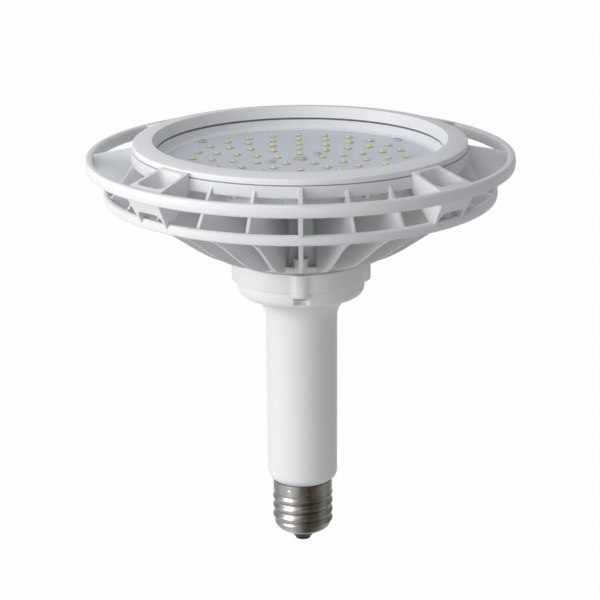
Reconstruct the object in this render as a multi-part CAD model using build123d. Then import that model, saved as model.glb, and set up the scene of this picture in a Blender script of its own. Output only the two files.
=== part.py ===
from build123d import *
import math
import os

# A high bay LED lamp with a screw cap, shown cap down with its light window up.
# Millimetres, +Z up. The axis of the lamp is Z, and the origin is the tip of its centre contact.
# The ribs that carry the upper ring and the housing screws lie on X and Y. The front faces -Y.

# Screw cap, a 39 mm Edison cap
CAP_R = 39.4 / 2
CAP_WALL = 0.45
CAP_BOTTOM_Z = 7.0
CAP_HOLE_R = 12.0
CAP_SEAT_R = 13.6
CAP_DOME_H = 6.5
CAP_THREAD_H = 22.5
CAP_SKIRT_R = 19.35
CAP_SKIRT_H = 6.7
CONTACT_R = 5.0
CONTACT_T = 2.0
CONTACT_EDGE = 0.8
RIVET_R = 1.5
RIVET_HEAD_R = 2.3
RIVET_HEAD_H = 1.4
INSULATOR_SHOULDER_R = 8.3
INSULATOR_SHOULDER_H = 3.0
INSULATOR_FLANGE_H = 2.2

# Driver housing: a stem that widens to a band under the mounting collar
STEM_R = 22.7
STEM_TOP_R = 23.2
STEM_H = 121.1
STEM_FOOT_ROUND = 3.5
HOUSING_WALL = 2.2
NECK_WALL = 2.4
NECK_DROP = 24.0
BAND_R = 40.7
BAND_H = 16.7
SHOULDER_RISE = 2.0
FLARE_ROUND = 9.0
SHOULDER_ROUND = 8.0

# Mounting collar and its screws
COLLAR_R = 41.8
COLLAR_WALL = 2.8
COLLAR_H = 15.0
COLLAR_LIP_ROUND = 2.0
SCREW_CIRCLE_R = 40.0
BOSS_R = 4.7
BOSS_DROP = 4.5
BOSS_COUNT = 4
GROOVE_DROP = 4.0
SCREW_R = 2.0
SCREW_HEAD_R = 3.5
SCREW_HEAD_H = 2.6
SINK_BOSS_H = 8.5
SCREW_GRIP = 7.5

# Heat sink: hub, plate, rim, fins and two rings, all one casting
HUB_R = 34.0
HUB_WALL = 4.5
HUB_FLANGE_R = 43.0
HUB_FLANGE_H = 3.0
SINK_H = 60.1
PLATE_T = 5.6
PLATE_R = 98.5
HUB_ROUND = 9.0
RIM_R = 106.5
RIM_INNER_R = 98.0
RIM_DEPTH = 10.7
RIM_SKIRT = 3.0
FIN_COUNT = 24
FIN_T = 2.2
RIB_T = 3.0
FIN_FOOT_R = 44.0
FIN_TOP_DROP = 3.0
FIN_FLARE_R = 66.0
FIN_FLARE_RISE = 7.7
FIN_KNEE_R = 94.0
FIN_KNEE_RISE = 26.5
LOWER_RING_R = 125.3
LOWER_RING_W = 3.8
LOWER_RING_H = 6.8
LOWER_RING_RISE = 39.0
UPPER_RING_R = 136.3
UPPER_RING_W = 5.3
UPPER_RING_H = 8.0
UPPER_RING_RISE = 58.7
RING_ROUND = 1.7

# Four open boxes between the rim and the upper ring, half way between the ribs
BOX_HALF_ANGLE = 6.43
BOX_WALL = 2.4
BOX_TOP_RISE = 3.0
BOX_FLOOR_T = 2.5
BOX_DEPTH = 14.0
BOX_DRAFT = 3.6
BOX_CORNER = 4.5
WINDOW_HALF_W = 10.5
WINDOW_H = 5.3
WINDOW_ROUND = 4.0

# Bezel, cover and seals
BEZEL_R = 106.0
BEZEL_WALL_H = 4.2
BEZEL_CROWN = 1.7
BEZEL_INNER_R = 93.4
BEZEL_BORE_R = 91.0
BEZEL_EDGE = 1.0
BEZEL_SPIGOT = 0.9
BEZEL_GROOVE = 0.5
GASKET_LIP_T = 0.8
GASKET_SIDE = 2.0
GASKET_LIP_W = 4.2
COVER_T = 2.5
BEZEL_SCREW_COUNT = 8
BEZEL_SCREW_CIRCLE_R = 103.0
BEZEL_SCREW_R = 1.5
BEZEL_SCREW_HEAD_R = 2.8
BEZEL_SCREW_HEAD_H = 2.0
BEZEL_SCREW_BITE = 3.2

# Light board with its chips in rings
PAD_T = 0.4
BOARD_T = 1.6
BOARD_R = 89.2
REFLECTOR_BORE_R = 87.0
REFLECTOR_FLARE = 1.4
CHIP_RINGS = [(15.06, 5), (28.64, 10), (42.20, 15), (55.79, 20), (68.37, 25)]
CHIP_TURN = 0.8
CHIP_SIZE = 3.2
CHIP_BASE_H = 0.7
CHIP_LENS_H = 1.2
CHIP_LENS_DRAFT = 35
BOARD_SCREWS = [(82.0, -129.0), (82.0, 129.0), (82.0, -51.0), (82.0, 51.0), (19.4, -68.5), (17.7, 141.1)]
BOARD_SCREW_R = 1.5
BOARD_SCREW_HEAD_R = 2.6
BOARD_SCREW_HEAD_H = 1.4
BOARD_SCREW_BITE = 4.5
WIRE_HOLE_R = 3.2
SEAL_R = 6.3
SEAL_H = 2.3

# Driver board and what it carries
CARD_T = 1.6
CARD_OFFSET = 5.0
CARD_H = 136.0
CARD_RAIL_T = 1.2
CARD_RAIL_REACH = 3.2
CARD_RAIL_H = 100.0
LEAD_R = 0.8
HOUSING_GASKET_T = 1.0
HOUSING_GASKET_W = 5.6

# Clearances
SEAT_GAP = 0.2
SCREW_GAP = 0.3
RUN_GAP = 0.3

# Heights that follow from the sizes above
CAP_THREAD_Z = CAP_BOTTOM_Z + CAP_DOME_H
CAP_SKIRT_Z = CAP_THREAD_Z + CAP_THREAD_H
STEM_Z = CAP_SKIRT_Z + CAP_SKIRT_H
SHOULDER_Z = STEM_Z + STEM_H
SEAM_Z = SHOULDER_Z + BAND_H
SINK_Z = SEAM_Z + COLLAR_H
SEAT_Z = SINK_Z + SINK_H
RIM_TOP_Z = SEAT_Z + RIM_DEPTH
RIM_FOOT_Z = SEAT_Z + RIM_SKIRT
BOARD_Z = SEAT_Z + PAD_T
BOARD_TOP_Z = BOARD_Z + BOARD_T
BEZEL_FOOT_Z = RIM_TOP_Z - BEZEL_SPIGOT
COVER_TOP_Z = BEZEL_FOOT_Z - GASKET_LIP_T
COVER_Z = COVER_TOP_Z - COVER_T
REFLECTOR_TOP_Z = COVER_Z - GASKET_LIP_T
LOWER_RING_Z = SINK_Z + LOWER_RING_RISE
UPPER_RING_Z = SINK_Z + UPPER_RING_RISE
UPPER_RING_IN = UPPER_RING_R - UPPER_RING_W
FIN_TOP_Z = RIM_TOP_Z - FIN_TOP_DROP


def outline(points, rounds=None):
    """A flat face from corner points; rounds names the radius at some of the corners."""
    face = make_face(Polyline(*points, close=True))
    for index, radius in (rounds or {}).items():
        corner = min(face.vertices(), key=lambda v: (v.X - points[index][0]) ** 2 + (v.Y - points[index][1]) ** 2)
        face = fillet(corner, radius)
    return face


def turned(face):
    """A solid turned about Z from a face drawn as radius and height."""
    return revolve(Plane.XZ * face, Axis.Z)


def cylinder(radius, low, high, x=0.0, y=0.0):
    """A cylinder along Z between two heights."""
    return Pos(x, y, (low + high) / 2) * Cylinder(radius, high - low)


def at_angle(radius, degrees):
    """A point on a circle; 0 is the front, -Y, and the angle grows towards +X."""
    turn = math.radians(degrees)
    return radius * math.sin(turn), -radius * math.cos(turn)


def around(shape, count, first=0.0):
    """Copies of a shape around Z."""
    return [Rot(0, 0, first + index * 360 / count) * shape for index in range(count)]


def fused(pieces):
    """One solid made of several."""
    return pieces[0].fuse(*pieces[1:])


def wire(points, radii, radius=LEAD_R):
    """A lead of round section along straight runs joined by arcs."""
    path = FilletPolyline(*points, radius=radii)
    return sweep(Plane(origin=path @ 0, z_dir=path % 0) * Circle(radius), path=path)


def screw(radius, head_r, head_h, low, high):
    """A pan head screw pointing up, its head under the height low."""
    head = outline([(0, low - head_h), (head_r, low - head_h), (head_r, low), (0, low)], {1: head_h * 0.6})
    return turned(head) + cylinder(radius, low, high) - slot_cross(head_r, low - head_h)


def slot_cross(head_r, low):
    """The crossed driver recess of a screw head."""
    arm = Pos(0, 0, low) * Box(head_r * 1.1, head_r * 0.3, head_r * 0.5)
    return arm + Rot(0, 0, 90) * arm


# Cap

def cap_shell():
    """Thin drawn shell: flat seat, dome, thread wall and a slightly narrower skirt."""
    def skin(inset):
        return outline([(0, CAP_BOTTOM_Z + inset), (CAP_SEAT_R, CAP_BOTTOM_Z + inset),
                        (CAP_R - inset, CAP_BOTTOM_Z + inset + 1.5), (CAP_R - inset, CAP_SKIRT_Z),
                        (CAP_SKIRT_R - inset, CAP_SKIRT_Z + 1.0), (CAP_SKIRT_R - inset, STEM_Z), (0, STEM_Z)],
                       {2: 4.5 - inset})
    return turned(skin(0)) - turned(skin(CAP_WALL)) - cylinder(CAP_HOLE_R, 0, CAP_THREAD_Z)


def cap_insulator():
    """Glass button between the shell and the contact."""
    hole = RIVET_R + SEAT_GAP / 2
    low = CONTACT_T
    rim = CAP_HOLE_R - SEAT_GAP / 2
    flange_z = CAP_BOTTOM_Z + CAP_WALL
    return turned(outline([(hole, low), (CONTACT_R + 1.0, low), (INSULATOR_SHOULDER_R, low + INSULATOR_SHOULDER_H),
                           (rim, CAP_BOTTOM_Z), (rim, flange_z), (CAP_SEAT_R - SEAT_GAP, flange_z),
                           (CAP_SEAT_R - SEAT_GAP, flange_z + INSULATOR_FLANGE_H),
                           (hole, flange_z + INSULATOR_FLANGE_H)]))


def rivet_top_z():
    return CAP_BOTTOM_Z + CAP_WALL + INSULATOR_FLANGE_H + RIVET_HEAD_H


def centre_contact():
    """Contact disc with a rivet through the insulator."""
    disc = outline([(0, 0), (CONTACT_R, 0), (CONTACT_R, CONTACT_T), (0, CONTACT_T)], {1: CONTACT_EDGE})
    head_z = rivet_top_z() - RIVET_HEAD_H
    return turned(disc) + cylinder(RIVET_R, CONTACT_T, head_z) + cylinder(RIVET_HEAD_R, head_z, rivet_top_z())


# Housing

def stem_outline(inset):
    """The housing's outside from the foot of the stem to the seam, moved in by a wall."""
    top_round = SHOULDER_ROUND - inset
    foot_round = {1: STEM_FOOT_ROUND} if inset == 0 else {}
    points = [(0, STEM_Z + inset), (STEM_R - inset, STEM_Z + inset), (STEM_TOP_R - inset, SHOULDER_Z + inset),
              (BAND_R - inset, SHOULDER_Z + SHOULDER_RISE + inset), (BAND_R - inset, SEAM_Z), (0, SEAM_Z)]
    return outline(points, {**foot_round, 2: FLARE_ROUND + inset, 3: top_round})


def screw_spots(shape):
    """Copies of a shape at the four housing screws."""
    return around(Pos(0, -SCREW_CIRCLE_R, 0) * shape, BOSS_COUNT)


def neck_r():
    return CAP_R - CAP_WALL - SEAT_GAP


def spigot_r():
    return COLLAR_R - COLLAR_WALL - SEAT_GAP


def housing_top_z():
    return SINK_Z - HOUSING_GASKET_T


def driver_housing():
    """Moulded stem with a neck for the cap, a band, and a spigot for the collar."""
    wall = HOUSING_WALL
    neck = cylinder(neck_r() - 0.3, STEM_Z - NECK_DROP, STEM_Z + wall)
    spigot = cylinder(spigot_r(), SEAM_Z - wall, housing_top_z())
    groove = cylinder(BOSS_R + RUN_GAP, SEAM_Z - BOSS_DROP - GROOVE_DROP, SINK_Z)
    lining = cylinder(BOSS_R + RUN_GAP + wall, SEAM_Z - BOSS_DROP - GROOVE_DROP - wall, housing_top_z())
    body = fused([turned(stem_outline(0)), neck, spigot])
    cavity = turned(stem_outline(wall)).fuse(cylinder(spigot_r() - wall, SEAM_Z - wall, SINK_Z))
    bore = cylinder(neck_r() - NECK_WALL, STEM_Z - NECK_DROP, STEM_Z + 2 * wall)
    linings = [piece & body for piece in screw_spots(lining)]
    return fused([body - cavity - bore] + linings + card_rails()) - screw_spots(groove)


def card_rails():
    """Two pairs of ribs that hold the driver board's edges."""
    x_out = STEM_R - HOUSING_WALL / 2 - 0.8
    x_in = card_half_width() - CARD_RAIL_REACH
    gap = CARD_T / 2 + SEAT_GAP
    rails = []
    for side in (-1, 1):
        for face in (-1, 1):
            rail = Box(x_out - x_in, CARD_RAIL_T, CARD_RAIL_H)
            x = side * (x_out + x_in) / 2
            y = CARD_OFFSET + face * (gap + CARD_RAIL_T / 2)
            rails.append(Pos(x, y, card_z() + CARD_RAIL_H / 2 - SEAT_GAP) * rail)
    return rails


def mounting_collar():
    """Ring round the housing's spigot with four screw bosses that hang below the seam."""
    bore = COLLAR_R - COLLAR_WALL
    ring = turned(outline([(bore, SEAM_Z), (COLLAR_R, SEAM_Z), (COLLAR_R, SINK_Z), (bore, SINK_Z)],
                          {1: COLLAR_LIP_ROUND}))
    boss = outline([(0, SEAM_Z - BOSS_DROP), (BOSS_R, SEAM_Z - BOSS_DROP), (BOSS_R, SINK_Z), (0, SINK_Z)], {1: 1.6})
    hole = cylinder(SCREW_R + SCREW_GAP, SEAM_Z - BOSS_DROP, SINK_Z)
    return fused([ring] + screw_spots(turned(boss))) - screw_spots(hole)


def housing_screws():
    low = SEAM_Z - BOSS_DROP
    return screw_spots(screw(SCREW_R, SCREW_HEAD_R, SCREW_HEAD_H, low, SINK_Z + SCREW_GRIP))


def housing_gasket():
    """Flat ring between the housing's spigot and the heat sink's hub."""
    outer = spigot_r()
    ring = cylinder(outer, housing_top_z(), SINK_Z) - cylinder(outer - HOUSING_GASKET_W, housing_top_z(), SINK_Z)
    return ring - screw_spots(cylinder(BOSS_R + RUN_GAP, housing_top_z(), SINK_Z))


# Heat sink

def sink_core():
    """Hollow hub, plate and rim, turned as one."""
    top = SEAT_Z
    under = SEAT_Z - PLATE_T
    return turned(outline([(HUB_R - HUB_WALL, SINK_Z), (HUB_FLANGE_R, SINK_Z), (HUB_FLANGE_R, SINK_Z + HUB_FLANGE_H),
                           (HUB_R, SINK_Z + HUB_FLANGE_H), (HUB_R, under), (PLATE_R, under),
                           (PLATE_R, RIM_FOOT_Z), (RIM_R + 0.5, RIM_FOOT_Z), (RIM_R, RIM_TOP_Z),
                           (RIM_INNER_R, RIM_TOP_Z), (RIM_INNER_R, top), (WIRE_HOLE_R + RUN_GAP, top),
                           (WIRE_HOLE_R + RUN_GAP, under), (HUB_R - HUB_WALL, under)],
                          {3: 3.0, 4: HUB_ROUND, 5: 2.0, 7: 1.0}))


def fin_foot_line():
    """The lower edge of every fin: a long ogee from the collar out to the lower ring."""
    end = (LOWER_RING_R - LOWER_RING_W / 2, LOWER_RING_Z + 0.8)
    points = [(FIN_FOOT_R, SINK_Z), (FIN_FLARE_R, SINK_Z + FIN_FLARE_RISE),
              (FIN_KNEE_R, SINK_Z + FIN_KNEE_RISE), end]
    return Spline(*points, tangents=[(1, 0.15), (1, 0.3)])


def fin_section(top_points):
    """A fin from hub to rings; top_points close it from the lower ring back to the hub."""
    foot = fin_foot_line()
    root_r = HUB_R - 2.0
    back = Polyline(foot @ 1, *top_points, (RIM_R - 3.0, RIM_FOOT_Z + 1.0), (PLATE_R - 3.0, SEAT_Z - 2.0),
                    (root_r, SEAT_Z - 2.0), (root_r, SINK_Z), (FIN_FOOT_R, SINK_Z))
    return make_face([foot, *back.edges()])


def fin():
    """A plain fin, whose outer edge slopes from the rim down to the lower ring."""
    ring_mid = LOWER_RING_R - LOWER_RING_W / 2
    edge = [(ring_mid, LOWER_RING_Z + LOWER_RING_H * 0.7), (RIM_R + 0.2, FIN_TOP_Z), (RIM_R - 3.0, FIN_TOP_Z)]
    return extrude(Plane.XZ * fin_section(edge), FIN_T / 2, both=True)


def rib():
    """One of the four ribs that also carry the upper ring."""
    lower_mid = LOWER_RING_R - LOWER_RING_W * 0.35
    upper_mid = UPPER_RING_R - UPPER_RING_W / 2
    edge = [(lower_mid, LOWER_RING_Z + LOWER_RING_H / 2), (upper_mid - 0.6, UPPER_RING_Z + 1.5),
            (upper_mid - 0.6, UPPER_RING_Z + UPPER_RING_H - 1.5),
            (UPPER_RING_IN - 0.5, UPPER_RING_Z + UPPER_RING_H - 0.3),
            (RIM_R - 0.5, RIM_TOP_Z - 0.3), (RIM_R - 3.0, RIM_TOP_Z - 0.3)]
    return extrude(Plane.XZ * fin_section(edge), RIB_T / 2, both=True)


def ring(radius, width, low, height):
    """A round-edged hoop with a slight parting crease on its outside."""
    inner = radius - width
    mid = low + height / 2
    points = [(inner, low), (radius - 0.4, low), (radius, mid), (radius - 0.4, low + height), (inner, low + height)]
    return turned(outline(points, {0: RING_ROUND, 1: RING_ROUND, 3: RING_ROUND, 4: RING_ROUND}))


def wedge(inset, inner_r, outer_r, low, high, corner, draft):
    """A block between two radial planes, narrowing downwards."""
    slope = math.tan(math.radians(BOX_HALF_ANGLE))
    near, far = inner_r * slope - inset, outer_r * slope - inset
    plan = outline([(inner_r, -near), (outer_r, -far), (outer_r, far), (inner_r, near)])
    if corner:
        plan = fillet(plan.vertices(), corner)
    return extrude(Pos(0, 0, high) * plan, -(high - low), taper=draft)


def skirt_r(z):
    """The outside of a box's skirt, between the two rings."""
    low_z = LOWER_RING_Z + LOWER_RING_H / 2
    share = (z - low_z) / (UPPER_RING_Z + 1.5 - low_z)
    low_r = LOWER_RING_R - 0.8
    return low_r + share * (UPPER_RING_R - 2.5 - low_r)


def box_outside():
    """One box before its pocket is cut: sloping top, slanted skirt, undercut towards the rim."""
    low = LOWER_RING_Z + LOWER_RING_H / 2
    ring_top = UPPER_RING_Z + UPPER_RING_H
    side = [(RIM_R - 3.0, RIM_FOOT_Z + 1.0), (LOWER_RING_R - LOWER_RING_W, low), (skirt_r(low), low),
            (skirt_r(UPPER_RING_Z + 1.5), UPPER_RING_Z + 1.5), (UPPER_RING_R - 2.5, ring_top - 1.5),
            (UPPER_RING_IN, ring_top), (RIM_R, RIM_TOP_Z + BOX_TOP_RISE), (RIM_R - 3.0, RIM_TOP_Z + BOX_TOP_RISE)]
    section = extrude(Plane.XZ * outline(side), UPPER_RING_R * 0.2, both=True)
    block = wedge(0, RIM_R - 3.5, UPPER_RING_R + 8, low - 1, RIM_TOP_Z + BOX_TOP_RISE + 1, 0, BOX_DRAFT)
    return block & section


def box_floor_z():
    return RIM_TOP_Z - BOX_DEPTH


def box_pocket():
    """The pocket that is open at the top."""
    return wedge(BOX_WALL, RIM_R + BOX_WALL, UPPER_RING_IN - BOX_WALL, box_floor_z() + BOX_FLOOR_T,
                 RIM_TOP_Z + BOX_TOP_RISE + 1, BOX_CORNER, BOX_DRAFT)


def box_underside():
    """The hollow below the pocket's floor, behind the skirt."""
    high = box_floor_z()
    low = LOWER_RING_Z - 1
    thick = BOX_WALL * 1.2
    side = [(RIM_INNER_R, low), (skirt_r(low) - thick, low), (skirt_r(high) - thick, high), (RIM_INNER_R, high)]
    section = extrude(Plane.XZ * outline(side), UPPER_RING_R * 0.2, both=True)
    return section & wedge(BOX_WALL, RIM_R - 12, UPPER_RING_R + 8, low - 1, RIM_TOP_Z, 0, BOX_DRAFT)


def box_window():
    """The arched window through the skirt, just above the lower ring."""
    low = LOWER_RING_Z + LOWER_RING_H / 2
    high = LOWER_RING_Z + LOWER_RING_H + WINDOW_H
    arch = outline([(-WINDOW_HALF_W, low), (WINDOW_HALF_W, low), (WINDOW_HALF_W, high), (-WINDOW_HALF_W, high)],
                   {2: WINDOW_ROUND, 3: WINDOW_ROUND})
    return extrude(Pos(LOWER_RING_R - 8, 0, 0) * (Plane.YZ * arch), UPPER_RING_R - LOWER_RING_R + 12)


def heat_sink():
    """The whole casting."""
    quarter = 360 / BOSS_COUNT
    fins = []
    for index in range(FIN_COUNT):
        turn = index * 360 / FIN_COUNT
        fins.append(Rot(0, 0, turn) * (rib() if turn % quarter == 0 else fin()))
    boxes = around(box_outside() - box_underside() - box_window(), BOSS_COUNT, quarter / 2)
    pockets = around(box_pocket(), BOSS_COUNT, quarter / 2)
    bosses = screw_spots(cylinder(BOSS_R, SINK_Z, SINK_Z + SINK_BOSS_H))
    rings = [ring(LOWER_RING_R, LOWER_RING_W, LOWER_RING_Z, LOWER_RING_H),
             ring(UPPER_RING_R, UPPER_RING_W, UPPER_RING_Z, UPPER_RING_H)]
    body = fused([sink_core()] + fins + bosses + boxes) - pockets
    holes = screw_spots(cylinder(SCREW_R, SINK_Z, SINK_Z + SCREW_GRIP))
    rim_hole = Pos(0, -BEZEL_SCREW_CIRCLE_R, 0) * cylinder(BEZEL_SCREW_R + SCREW_GAP, RIM_FOOT_Z, RIM_TOP_Z)
    holes += around(rim_hole, BEZEL_SCREW_COUNT, 180 / BEZEL_SCREW_COUNT)
    for radius, turn in BOARD_SCREWS:
        x, y = at_angle(radius, turn)
        holes.append(cylinder(BOARD_SCREW_R, SEAT_Z - BOARD_SCREW_BITE, SEAT_Z, x, y))
    bezel_room = cylinder(BEZEL_R + RUN_GAP, RIM_TOP_Z, RIM_TOP_Z + BOX_TOP_RISE + 1)
    return fused([body] + rings) - holes - bezel_room


# Window

def bezel_ring():
    """Turned ring that clamps the cover, with a sloping face and blind screw holes."""
    top_z = RIM_TOP_Z + BEZEL_WALL_H
    spigot = RIM_INNER_R - SEAT_GAP
    body = turned(outline([(BEZEL_BORE_R, BEZEL_FOOT_Z), (spigot, BEZEL_FOOT_Z), (spigot, RIM_TOP_Z),
                           (BEZEL_R, RIM_TOP_Z), (BEZEL_R, top_z), (BEZEL_INNER_R, top_z + BEZEL_CROWN)],
                          {4: BEZEL_EDGE, 5: BEZEL_EDGE / 2}))
    groove_z = RIM_TOP_Z + BEZEL_WALL_H * 0.55
    groove = turned(outline([(BEZEL_R + 0.1, groove_z - BEZEL_GROOVE / 2), (BEZEL_R + 0.1, groove_z + BEZEL_GROOVE / 2),
                             (BEZEL_R - BEZEL_GROOVE, groove_z)]))
    hole = Pos(0, -BEZEL_SCREW_CIRCLE_R, 0) * cylinder(BEZEL_SCREW_R, RIM_TOP_Z, RIM_TOP_Z + BEZEL_SCREW_BITE)
    return body - groove - around(hole, BEZEL_SCREW_COUNT, 180 / BEZEL_SCREW_COUNT)


def bezel_screws():
    one = screw(BEZEL_SCREW_R, BEZEL_SCREW_HEAD_R, BEZEL_SCREW_HEAD_H, RIM_FOOT_Z, RIM_TOP_Z + BEZEL_SCREW_BITE)
    return around(Pos(0, -BEZEL_SCREW_CIRCLE_R, 0) * one, BEZEL_SCREW_COUNT, 180 / BEZEL_SCREW_COUNT)


def cover_r():
    return RIM_INNER_R - SEAT_GAP - GASKET_SIDE


def cover_gasket():
    """Channel of rubber round the cover's edge."""
    outer = RIM_INNER_R - SEAT_GAP
    return turned(outline([(outer - GASKET_SIDE - GASKET_LIP_W, REFLECTOR_TOP_Z), (outer, REFLECTOR_TOP_Z),
                           (outer, BEZEL_FOOT_Z), (outer - GASKET_SIDE - GASKET_LIP_W, BEZEL_FOOT_Z),
                           (outer - GASKET_SIDE - GASKET_LIP_W, COVER_TOP_Z), (cover_r(), COVER_TOP_Z),
                           (cover_r(), COVER_Z), (outer - GASKET_SIDE - GASKET_LIP_W, COVER_Z)]))


def cover_lens():
    """Clear flat cover."""
    return cylinder(cover_r(), COVER_Z, COVER_TOP_Z)


def reflector_ring():
    """White ring that holds the board's edge down and carries the gasket."""
    outer = RIM_INNER_R - SEAT_GAP
    recess = BOARD_R + SEAT_GAP
    return turned(outline([(recess, SEAT_Z), (outer, SEAT_Z), (outer, REFLECTOR_TOP_Z),
                           (REFLECTOR_BORE_R + REFLECTOR_FLARE, REFLECTOR_TOP_Z),
                           (REFLECTOR_BORE_R, BOARD_TOP_Z), (recess, BOARD_TOP_Z)]))


def board_holes(low, high, gap):
    """Screw holes of the light board and its pad, and the hole for the leads."""
    holes = [cylinder(WIRE_HOLE_R, low, high)]
    for radius, turn in BOARD_SCREWS:
        x, y = at_angle(radius, turn)
        holes.append(cylinder(BOARD_SCREW_R + gap, low, high, x, y))
    return holes


def led_board():
    return cylinder(BOARD_R, BOARD_Z, BOARD_TOP_Z) - board_holes(BOARD_Z, BOARD_TOP_Z, SCREW_GAP)


def thermal_pad():
    return cylinder(BOARD_R, SEAT_Z, BOARD_Z) - board_holes(SEAT_Z, BOARD_Z, SCREW_GAP)


def board_screws():
    screws = []
    for radius, turn in BOARD_SCREWS:
        x, y = at_angle(radius, turn)
        one = screw(BOARD_SCREW_R, BOARD_SCREW_HEAD_R, BOARD_SCREW_HEAD_H, 0, BOARD_TOP_Z - SEAT_Z + BOARD_SCREW_BITE)
        screws.append(Pos(x, y, BOARD_TOP_Z) * (Rot(180, 0, 0) * one))
    return screws


def led_chips():
    """Chips in rings, each a base with a square lens that slopes in."""
    base = Pos(0, 0, CHIP_BASE_H / 2) * Box(CHIP_SIZE, CHIP_SIZE, CHIP_BASE_H)
    lens_size = CHIP_SIZE - 0.5
    lens = extrude(Pos(0, 0, CHIP_BASE_H) * Rectangle(lens_size, lens_size), CHIP_LENS_H, taper=CHIP_LENS_DRAFT)
    chip = base + lens
    chips = []
    for radius, count in CHIP_RINGS:
        chips += around(Pos(0, radius, BOARD_TOP_Z) * chip, count, CHIP_TURN)
    return chips


def wire_seal():
    """Blob of sealant over the place where the leads come up."""
    dome = outline([(0, BOARD_TOP_Z), (SEAL_R, BOARD_TOP_Z), (SEAL_R - 0.8, BOARD_TOP_Z + SEAL_H * 0.6),
                    (SEAL_R * 0.45, BOARD_TOP_Z + SEAL_H), (0, BOARD_TOP_Z + SEAL_H)], {2: 1.0, 3: 1.2})
    return turned(dome)


# Driver

def card_z():
    """The driver board stands on the floor of the stem."""
    return STEM_Z + HOUSING_WALL


def card_half_width():
    """As wide as the stem allows at the board's offset."""
    reach = CARD_OFFSET + CARD_T / 2
    return math.sqrt((STEM_R - HOUSING_WALL) ** 2 - reach ** 2) - SEAT_GAP


def card_face_y():
    return CARD_OFFSET - CARD_T / 2


def driver_board():
    width = 2 * card_half_width()
    return Pos(0, CARD_OFFSET, card_z() + CARD_H / 2) * Box(width, CARD_T, CARD_H)


def on_card(x, rise, width, depth, height, lift=0.0):
    """A block on the board's front face, its foot at a rise above the board's foot."""
    return Pos(x, card_face_y() - lift - depth / 2, card_z() + rise + height / 2) * Box(width, depth, height)


def can(x, rise, radius, length):
    """A round capacitor lying along the board, with the crimp near its foot."""
    crimp = 0.5
    body = outline([(0, 0), (radius, 0), (radius, 1.2), (radius - crimp, 1.8), (radius, 2.4), (radius, length),
                    (0, length)], {5: 0.8})
    return Pos(x, card_face_y() - radius, card_z() + rise) * turned(body)


def transformer_core():
    """Two E halves as a frame round the winding."""
    frame = on_card(0, 92, 26, 10, 24, 3)
    return frame - on_card(0, 96, 19, 10, 16, 3) + on_card(0, 95, 6.5, 10, 18, 3)


def transformer_winding():
    return on_card(0, 96.1, 18.6, 16, 15.8) - on_card(0, 96, 6.7, 10.2, 16, 2.9)


def filter_choke():
    """Toroid choke standing on the board."""
    coil = Torus(6.0, 2.6)
    return Pos(0, card_face_y() - 2.6, card_z() + 38) * (Rot(90, 0, 0) * coil)


def transistor_sink():
    """Folded plate that cools the switch."""
    plate = on_card(12, 74, 1.5, 14, 16)
    return plate + on_card(13.5, 74, 4.5, 1.5, 16)


def output_leads():
    """Two leads from the driver board up the hub to the light board."""
    leads = []
    for x in (-1.5, 1.5):
        y = card_face_y() - LEAD_R
        low = card_z() + CARD_H - 12
        points = [(x, y, low), (x, y, low + 30), (x, 0, low + 52), (x, 0, BOARD_TOP_Z)]
        leads.append(wire(points, [60, 60]))
    return leads


def live_lead():
    """From the rivet to the foot of the driver board."""
    y = card_face_y() - LEAD_R
    top = card_z() + 10
    return wire([(0, 0, rivet_top_z()), (0, 0, rivet_top_z() + 14), (5, y, card_z() - 4), (5, y, top)], [20, 20])


def neutral_lead():
    """From the inside of the cap shell to the foot of the driver board."""
    y = card_face_y() - LEAD_R
    start_r = CAP_R - CAP_WALL - LEAD_R - 0.05
    foot = STEM_Z - NECK_DROP
    points = [(-start_r, 0, foot - 3.0), (-start_r + 6, 0, foot + 2.0), (-7, y / 2, card_z() - 10),
              (-5, y, card_z() + 1), (-5, y, card_z() + 12)]
    return wire(points, [3, 12, 12])


def main():
    nodes = {
        "centre_contact": centre_contact(),
        "cap_insulator": cap_insulator(),
        "cap_shell": cap_shell(),
        "driver_housing": driver_housing(),
        "mounting_collar": mounting_collar(),
        "housing_screws": housing_screws(),
        "housing_gasket": housing_gasket(),
        "heat_sink": heat_sink(),
        "thermal_pad": thermal_pad(),
        "led_board": led_board(),
        "led_chips": led_chips(),
        "board_screws": board_screws(),
        "wire_seal": wire_seal(),
        "reflector_ring": reflector_ring(),
        "cover_gasket": cover_gasket(),
        "cover_lens": cover_lens(),
        "bezel_ring": bezel_ring(),
        "bezel_screws": bezel_screws(),
        "driver_board": driver_board(),
        "live_lead": live_lead(),
        "neutral_lead": neutral_lead(),
        "output_leads": output_leads(),
        "fuse": can(12, 8, 2.6, 10),
        "varistor": on_card(-11, 8, 10, 4.5, 12),
        "film_capacitor": on_card(3, 20, 16, 8, 9),
        "filter_choke": filter_choke(),
        "bridge_rectifier": on_card(12, 44, 7, 4, 7),
        "bulk_capacitor": can(-3, 54, 7.5, 30),
        "switch_transistor": on_card(9.3, 76, 3.8, 10, 12),
        "transistor_sink": transistor_sink(),
        "transformer_core": transformer_core(),
        "transformer_winding": transformer_winding(),
        "output_capacitor": can(-8, 118, 5.5, 16),
    }
    os.makedirs("parts", exist_ok=True)
    for name, shape in nodes.items():
        solids = Compound(children=list(shape)) if isinstance(shape, list) else shape
        export_step(solids, f"parts/{name}.step")


main()
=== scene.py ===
import bpy
import math
import random
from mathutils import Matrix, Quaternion, Vector


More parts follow.
